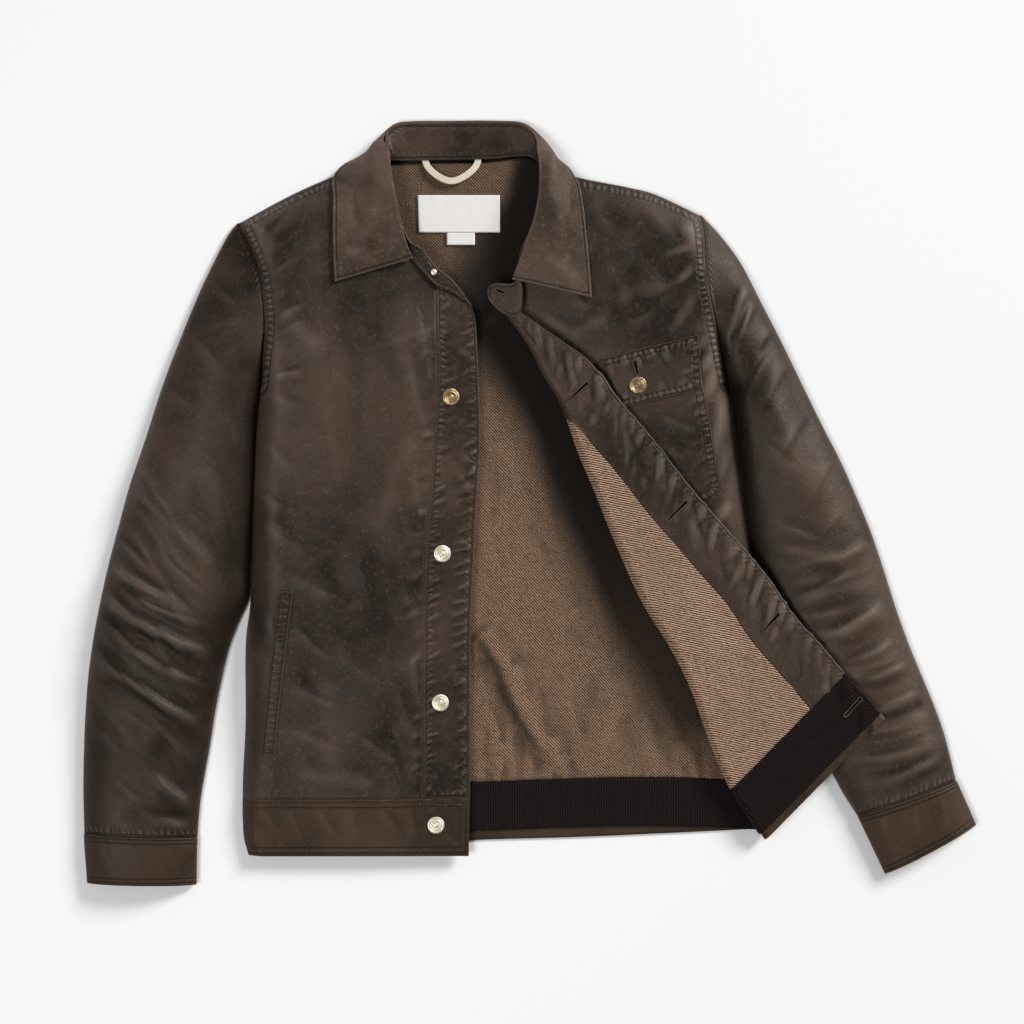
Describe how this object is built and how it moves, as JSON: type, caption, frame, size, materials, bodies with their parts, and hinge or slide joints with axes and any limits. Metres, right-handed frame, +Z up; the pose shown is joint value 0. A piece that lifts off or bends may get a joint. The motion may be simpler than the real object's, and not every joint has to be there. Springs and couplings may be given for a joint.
{
  "type": "waxed cotton jacket",
  "caption": "Collared waxed cotton jacket laid flat and open, left front turned back over its sleeve, twill lining showing, brass buttons.",
  "frame": {"origin": "middle of the outline box seen from above, on the surface that the jacket lies on", "axes": "+X towards the wearer's left sleeve, +Y towards the collar, +Z up from the surface"},
  "size_m": [0.8909, 0.7629, 0.0391],
  "materials": {
    "waxed_cotton": "waxed cotton, dark brown, soft sheen with rubbed highlights",
    "waxed_band": "waxed cotton, warmer brown where it is rubbed on hem and cuffs",
    "lining_twill": "brushed twill, brown and pale yarns",
    "corduroy": "fine corduroy, near black brown",
    "label_satin": "woven satin, white, bare",
    "cotton_tape": "cotton twill tape, cream",
    "pale_brass": "polished pale brass",
    "antique_brass": "antique brass, darkened in its rings"
  },
  "bodies": {
    "root": {"back_panel": "waxed_cotton", "back_lining": "lining_twill", "hem_band_back": "waxed_band", "hem_facing_back": "corduroy", "front_right": "waxed_cotton", "placket_right": "waxed_cotton", "hem_band_right": "waxed_band", "welt_right": "waxed_cotton", "front_left": "waxed_cotton", "lining_left": "lining_twill", "facing_left": "waxed_cotton", "hem_band_left": "waxed_band", "hem_facing_left": "corduroy", "breast_pocket": "waxed_cotton", "pocket_flap": "waxed_cotton", "sleeve_right": "waxed_cotton", "cuff_right": "waxed_band", "sleeve_left": "waxed_cotton", "cuff_left": "waxed_band", "collar_fall": "waxed_cotton", "collar_stand": "waxed_cotton", "hanger_loop": "cotton_tape", "label": "label_satin", "size_tab": "label_satin", "button_1": "antique_brass", "button_2": "pale_brass", "button_3": "pale_brass", "button_4": "pale_brass", "button_pocket": "antique_brass", "button_neck": "pale_brass"}
  },
  "joints": []
}
